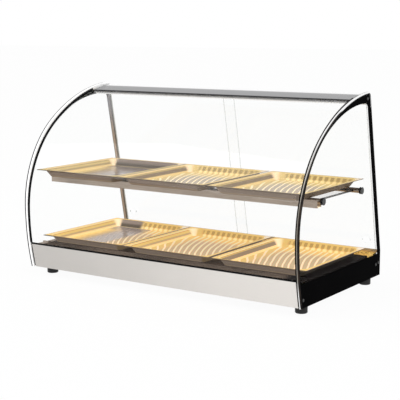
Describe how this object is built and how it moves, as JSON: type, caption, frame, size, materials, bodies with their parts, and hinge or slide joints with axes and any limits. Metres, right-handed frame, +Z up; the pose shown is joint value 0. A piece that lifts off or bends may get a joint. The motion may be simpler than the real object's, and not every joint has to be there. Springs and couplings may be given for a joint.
{
  "type": "heated display case",
  "caption": "Countertop heated display case with a curved front glass, sliding rear glass doors, a glass shelf on tubes and lift-off trays on two levels.",
  "frame": {"origin": "centre of the bounding box on the plane under the feet", "axes": "+X to the right seen from the front glass, +Y from the front glass to the rear doors, +Z up"},
  "size_m": [0.8304, 0.462, 0.5005],
  "materials": {
    "black_panel": "smooth black powder coat, semi-gloss",
    "panel_steel": "brushed stainless, grain along the width",
    "rear_steel": "brushed stainless, grain along the width",
    "cover_steel": "brushed stainless, grain along the width",
    "pan_steel": "plain sheet",
    "deck_steel": "brushed stainless, warm from the lamps",
    "polished_trim": "polished",
    "rail_aluminium": "satin anodised",
    "side_glass": "clear tempered glass",
    "front_glass": "clear tempered glass, curved",
    "door_glass": "clear tempered glass, ground edges",
    "shelf_glass": "clear tempered glass, ground edges",
    "gasket": "matte black rubber",
    "clear_seal": "clear silicone strip",
    "track_aluminium": "satin extrusion",
    "clear_pull": "clear moulded ring",
    "tube_steel": "satin tube",
    "light_rail": "satin extrusion",
    "lamp_board": "white circuit board with warm lamps",
    "lens": "frosted, warm",
    "foot_rubber": "matte black rubber",
    "disc_rubber": "black rubber",
    "bolt_black": "blackened",
    "screw_steel": "zinc plated",
    "element": "sheathed tube, dark from heat",
    "clip_steel": "plain sheet",
    "insulation": "mineral wool",
    "control_plastic": "fine moulded texture",
    "shaft_metal": "turned",
    "power_rocker": "glossy black",
    "light_rocker": "glossy black",
    "lamp_lens": "amber lens",
    "terminal_plastic": "white moulded",
    "driver_case": "white moulded",
    "tray_metal": "gold satin inside, brushed outside"
  },
  "bodies": {
    "case": {"side_plate_left": "black_panel", "side_plate_right": "black_panel", "front_panel": "panel_steel", "rear_panel": "rear_steel", "top_cover": "cover_steel", "base_pan": "pan_steel", "deck_plate": "deck_steel", "tray_stops": "deck_steel", "edge_trim_left": "polished_trim", "edge_trim_right": "polished_trim", "corner_block_left": "rail_aluminium", "corner_block_right": "rail_aluminium", "top_rail": "rail_aluminium", "side_glass_left": "side_glass", "side_glass_right": "side_glass", "front_glass": "front_glass", "shelf_glass": "shelf_glass", "front_glass_sill": "gasket", "front_glass_gaskets": "gasket", "top_cover_gasket": "gasket", "door_bumpers": "clear_seal", "door_track_bottom": "track_aluminium", "door_track_top": "track_aluminium", "shelf_front_tube": "tube_steel", "shelf_rear_tube": "tube_steel", "shelf_light_rail": "light_rail", "crown_light_housing": "light_rail", "light_boards": "lamp_board", "shelf_light_lens": "lens", "crown_light_lens": "lens", "feet": "foot_rubber", "shelf_end_discs": "disc_rubber", "shelf_bolts": "bolt_black", "side_screws": "screw_steel", "foot_screws": "screw_steel", "foot_nuts": "screw_steel", "heating_element": "element", "element_clips": "clip_steel", "insulation_pad": "insulation", "thermostat_body": "control_plastic", "switch_housings": "control_plastic", "cable_gland": "control_plastic", "thermostat_bulb": "shaft_metal", "indicator_lamp": "lamp_lens", "terminal_block": "terminal_plastic", "lamp_driver": "driver_case"},
    "door_left": {"door_left": "door_glass", "door_pull_left": "clear_pull"},
    "door_right": {"door_right": "door_glass", "door_pull_right": "clear_pull"},
    "thermostat_dial": {"thermostat_knob": "control_plastic", "thermostat_shaft": "shaft_metal"},
    "power_rocker": {"power_rocker": "power_rocker"},
    "light_rocker": {"light_rocker": "light_rocker"},
    "upper_tray_left": {"upper_tray_left": "tray_metal"},
    "upper_tray_middle": {"upper_tray_middle": "tray_metal"},
    "upper_tray_right": {"upper_tray_right": "tray_metal"},
    "lower_tray_left": {"lower_tray_left": "tray_metal"},
    "lower_tray_middle": {"lower_tray_middle": "tray_metal"},
    "lower_tray_right": {"lower_tray_right": "tray_metal"}
  },
  "joints": [
    {"name": "door_left_slide", "type": "slide", "parent": "case", "child": "door_left", "axis": [1, 0, 0], "range_m": [0, 0.392]},
    {"name": "door_right_slide", "type": "slide", "parent": "case", "child": "door_right", "axis": [-1, 0, 0], "range_m": [0, 0.392]},
    {"name": "thermostat_turn", "type": "hinge", "parent": "case", "child": "thermostat_dial", "pos_m": [-0.34, 0.215, 0.055], "axis": [0, -1, 0], "range_deg": [0, 270]},
    {"name": "power_rock", "type": "hinge", "parent": "case", "child": "power_rocker", "pos_m": [-0.27, 0.2141, 0.055], "axis": [-1, 0, 0], "range_deg": [0, 20]},
    {"name": "light_rock", "type": "hinge", "parent": "case", "child": "light_rocker", "pos_m": [-0.225, 0.2141, 0.055], "axis": [-1, 0, 0], "range_deg": [0, 20]},
    {"name": "upper_tray_left_lift", "type": "slide", "parent": "case", "child": "upper_tray_left", "axis": [0, 0.342, 0.9397], "range_m": [0, 0.02]},
    {"name": "upper_tray_middle_lift", "type": "slide", "parent": "case", "child": "upper_tray_middle", "axis": [0, 0.342, 0.9397], "range_m": [0, 0.02]},
    {"name": "upper_tray_right_lift", "type": "slide", "parent": "case", "child": "upper_tray_right", "axis": [0, 0.342, 0.9397], "range_m": [0, 0.02]},
    {"name": "lower_tray_left_lift", "type": "slide", "parent": "case", "child": "lower_tray_left", "axis": [0, 0, 1], "range_m": [0, 0.06]},
    {"name": "lower_tray_middle_lift", "type": "slide", "parent": "case", "child": "lower_tray_middle", "axis": [0, 0, 1], "range_m": [0, 0.06]},
    {"name": "lower_tray_right_lift", "type": "slide", "parent": "case", "child": "lower_tray_right", "axis": [0, 0, 1], "range_m": [0, 0.06]}
  ]
}
